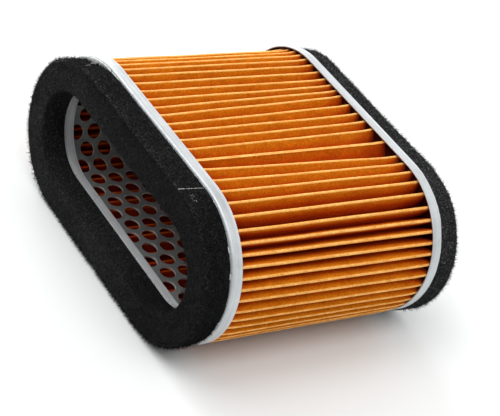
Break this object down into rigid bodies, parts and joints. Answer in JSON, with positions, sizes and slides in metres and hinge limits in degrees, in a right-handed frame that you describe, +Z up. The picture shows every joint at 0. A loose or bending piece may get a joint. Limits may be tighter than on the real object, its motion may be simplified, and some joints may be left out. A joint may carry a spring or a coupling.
{
  "type": "air filter",
  "caption": "Oval motorcycle air filter: pleated paper round a perforated tube, between pressed end caps with foam seals.",
  "frame": {"origin": "on the surface the filter lies on, under its centre", "axes": "+X along the oval's long axis, -Y out of the front opening, +Z up"},
  "size_m": [0.1338, 0.1176, 0.064],
  "materials": {
    "foam": "matt black open-cell foam",
    "glue": "milky dried glue",
    "cap_steel": "pale matt galvanised sheet",
    "potting": "brown cured adhesive",
    "paper": "matt orange filter paper",
    "tube_steel": "dull grey galvanised sheet"
  },
  "bodies": {
    "root": {"front_foam_seal": "foam", "rear_foam_seal": "foam", "front_seal_glue": "glue", "rear_seal_glue": "glue", "front_end_cap": "cap_steel", "rear_end_cap": "cap_steel", "front_potting": "potting", "rear_potting": "potting", "pleated_paper": "paper", "paper_seam_glue": "glue", "perforated_tube": "tube_steel"}
  },
  "joints": []
}
